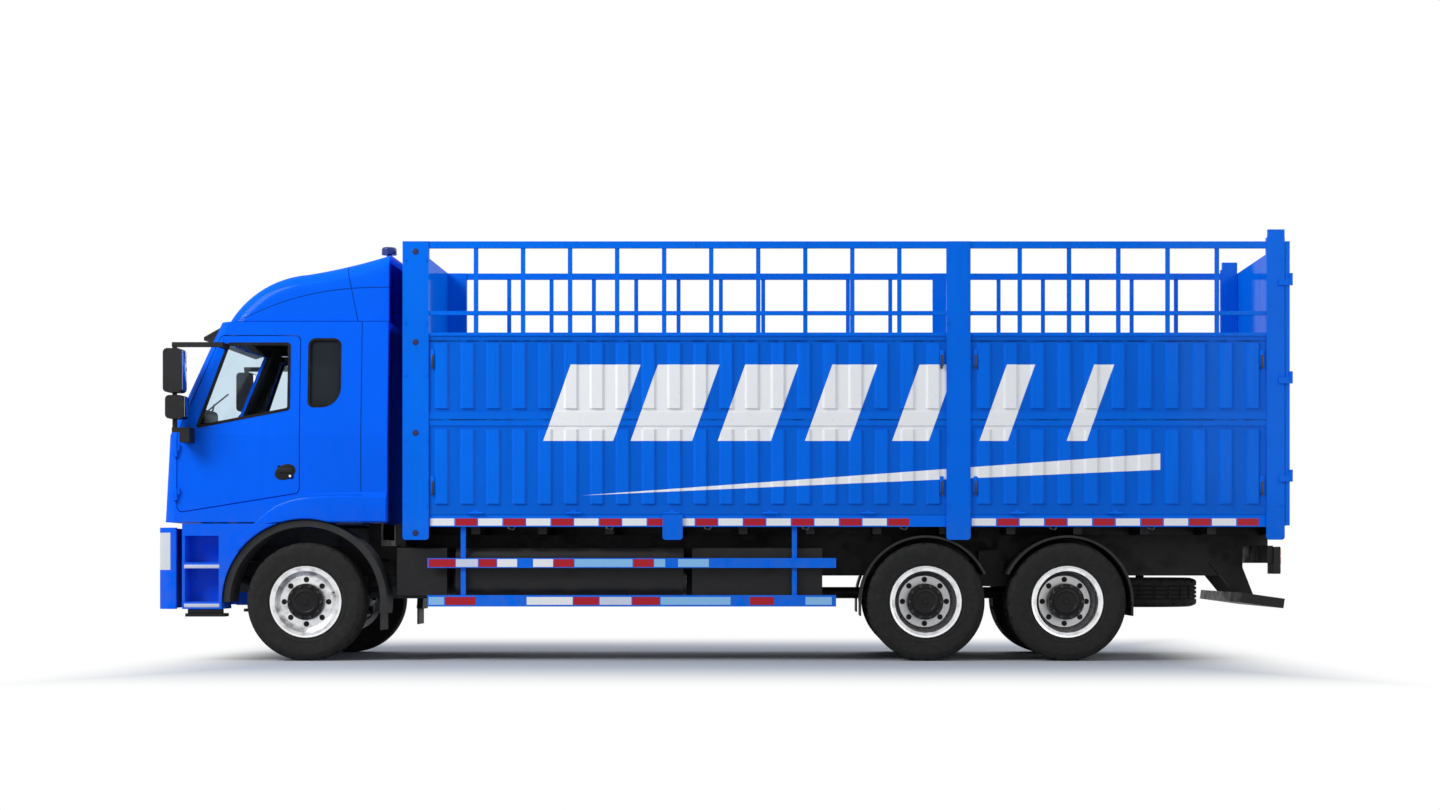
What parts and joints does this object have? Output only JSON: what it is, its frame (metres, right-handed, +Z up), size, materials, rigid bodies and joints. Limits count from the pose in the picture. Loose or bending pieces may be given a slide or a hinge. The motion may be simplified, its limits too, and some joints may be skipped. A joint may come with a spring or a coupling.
{
  "type": "stake truck",
  "caption": "Forward-control flatbed truck with ribbed side panels, open grilles above them, tandem rear axles and a tilting cab with a roof fairing.",
  "frame": {"origin": "middle of the whole truck's box, on the ground", "axes": "+X to the rear, +Y to the truck's right, +Z up"},
  "size_m": [10.42, 2.98, 3.96],
  "materials": {
    "chassis_black": "satin black chassis paint with road dust",
    "engine_grey": "dull cast grey",
    "tank_metal": "satin black sheet metal",
    "black_plastic": "grained black moulding",
    "cab_blue": "glossy vivid blue paint",
    "body_blue": "semi-gloss vivid blue paint on pressed sheet",
    "floor_wood": "worn dark boards",
    "window_glass": "tinted safety glass",
    "lamp_lens": "clear moulded lens",
    "tail_red": "red and amber lenses in a black box",
    "seat_fabric": "dark grey woven cloth",
    "dash_grey": "dark grey grained moulding",
    "tyre_rubber": "black rubber",
    "wheel_steel": "bright rolled steel"
  },
  "bodies": {
    "chassis": {"frame_rails": "chassis_black", "frame_crossmembers": "chassis_black", "engine": "engine_grey", "axles": "chassis_black", "leaf_springs": "chassis_black", "drive_shafts": "chassis_black", "fuel_tank": "tank_metal", "frame_boxes": "tank_metal", "side_guards": "body_blue", "rear_underrun": "chassis_black", "tail_lamps": "tail_red", "spare_wheel": "tyre_rubber", "front_bumper": "cab_blue", "headlamps": "lamp_lens", "cab_steps": "cab_blue", "low_steps": "black_plastic", "mudguards": "black_plastic", "bed_underframe": "chassis_black", "bed_floor": "floor_wood", "bed_posts": "body_blue", "headboard": "body_blue", "side_panels": "body_blue", "side_grilles": "body_blue"},
    "cab": {"cab_front": "cab_blue", "cab_sides": "cab_blue", "cab_roof": "cab_blue", "cab_extenders": "cab_blue", "cab_floor": "cab_blue", "cab_rear_wall": "cab_blue", "windscreen": "window_glass", "quarter_windows": "window_glass", "front_grille": "black_plastic", "roof_fairing": "cab_blue", "sun_visor": "black_plastic", "roof_lamps": "lamp_lens", "seats": "seat_fabric", "dashboard": "dash_grey"},
    "cab_door_left": {"cab_door_left": "cab_blue", "door_glass_left": "window_glass", "mirrors_left": "black_plastic"},
    "knuckle_left": {"knuckle_left": "chassis_black"},
    "front_wheel_left": {"front_wheel_left": "wheel_steel", "front_tyre_left": "tyre_rubber"},
    "rear_wheels_1_left": {"rear_wheel_1_left": "wheel_steel", "rear_tyres_1_left": "tyre_rubber"},
    "rear_wheels_2_left": {"rear_wheel_2_left": "wheel_steel", "rear_tyres_2_left": "tyre_rubber"},
    "rear_door_left": {"rear_door_left": "body_blue"},
    "cab_door_right": {"cab_door_right": "cab_blue", "door_glass_right": "window_glass", "mirrors_right": "black_plastic"},
    "knuckle_right": {"knuckle_right": "chassis_black"},
    "front_wheel_right": {"front_wheel_right": "wheel_steel", "front_tyre_right": "tyre_rubber"},
    "rear_wheels_1_right": {"rear_wheel_1_right": "wheel_steel", "rear_tyres_1_right": "tyre_rubber"},
    "rear_wheels_2_right": {"rear_wheel_2_right": "wheel_steel", "rear_tyres_2_right": "tyre_rubber"},
    "rear_door_right": {"rear_door_right": "body_blue"},
    "tie_rod": {"tie_rod": "chassis_black"}
  },
  "joints": [
    {"name": "cab_tilt", "type": "hinge", "parent": "chassis", "child": "cab", "pos_m": [-5.118, 0, 1.115], "axis": [0, -1, 0], "range_deg": [0, 45]},
    {"name": "steer_left", "type": "hinge", "parent": "chassis", "child": "knuckle_left", "pos_m": [-3.85, -0.87, 0.543], "axis": [0, 0, 1], "range_deg": [-38, 38]},
    {"name": "steer_right", "type": "hinge", "parent": "chassis", "child": "knuckle_right", "pos_m": [-3.85, 0.87, 0.543], "axis": [0, 0, 1], "range_deg": [-38, 38]},
    {"name": "tie_rod_ball", "type": "hinge", "parent": "knuckle_left", "child": "tie_rod", "pos_m": [-3.64, -0.87, 0.4], "axis": [0, 0, 1], "range_deg": [-38, 38]},
    {"name": "cab_door_left_swing", "type": "hinge", "parent": "cab", "child": "cab_door_left", "pos_m": [-5.024, -1.243, 1.7], "axis": [0, 0, -1], "range_deg": [0, 75]},
    {"name": "front_spin_left", "type": "hinge", "parent": "knuckle_left", "child": "front_wheel_left", "pos_m": [-3.85, -1.06, 0.543], "axis": [0, 1, 0], "continuous": true},
    {"name": "rear_spin_1_left", "type": "hinge", "parent": "chassis", "child": "rear_wheels_1_left", "pos_m": [1.85, -0.92, 0.543], "axis": [0, 1, 0], "continuous": true},
    {"name": "rear_spin_2_left", "type": "hinge", "parent": "chassis", "child": "rear_wheels_2_left", "pos_m": [3.15, -0.92, 0.543], "axis": [0, 1, 0], "continuous": true},
    {"name": "rear_door_left_swing", "type": "hinge", "parent": "chassis", "child": "rear_door_left", "pos_m": [5.196, -1.265, 2.5], "axis": [0, 0, -1], "range_deg": [0, 270]},
    {"name": "cab_door_right_swing", "type": "hinge", "parent": "cab", "child": "cab_door_right", "pos_m": [-5.024, 1.243, 1.7], "axis": [0, 0, 1], "range_deg": [0, 75]},
    {"name": "front_spin_right", "type": "hinge", "parent": "knuckle_right", "child": "front_wheel_right", "pos_m": [-3.85, 1.06, 0.543], "axis": [0, 1, 0], "continuous": true},
    {"name": "rear_spin_1_right", "type": "hinge", "parent": "chassis", "child": "rear_wheels_1_right", "pos_m": [1.85, 0.92, 0.543], "axis": [0, 1, 0], "continuous": true},
    {"name": "rear_spin_2_right", "type": "hinge", "parent": "chassis", "child": "rear_wheels_2_right", "pos_m": [3.15, 0.92, 0.543], "axis": [0, 1, 0], "continuous": true},
    {"name": "rear_door_right_swing", "type": "hinge", "parent": "chassis", "child": "rear_door_right", "pos_m": [5.196, 1.265, 2.5], "axis": [0, 0, 1], "range_deg": [0, 270]}
  ],
  "couplings": [
    {"joint": "steer_right", "follows": "steer_left", "ratio": 1},
    {"joint": "tie_rod_ball", "follows": "steer_left", "ratio": -1}
  ]
}
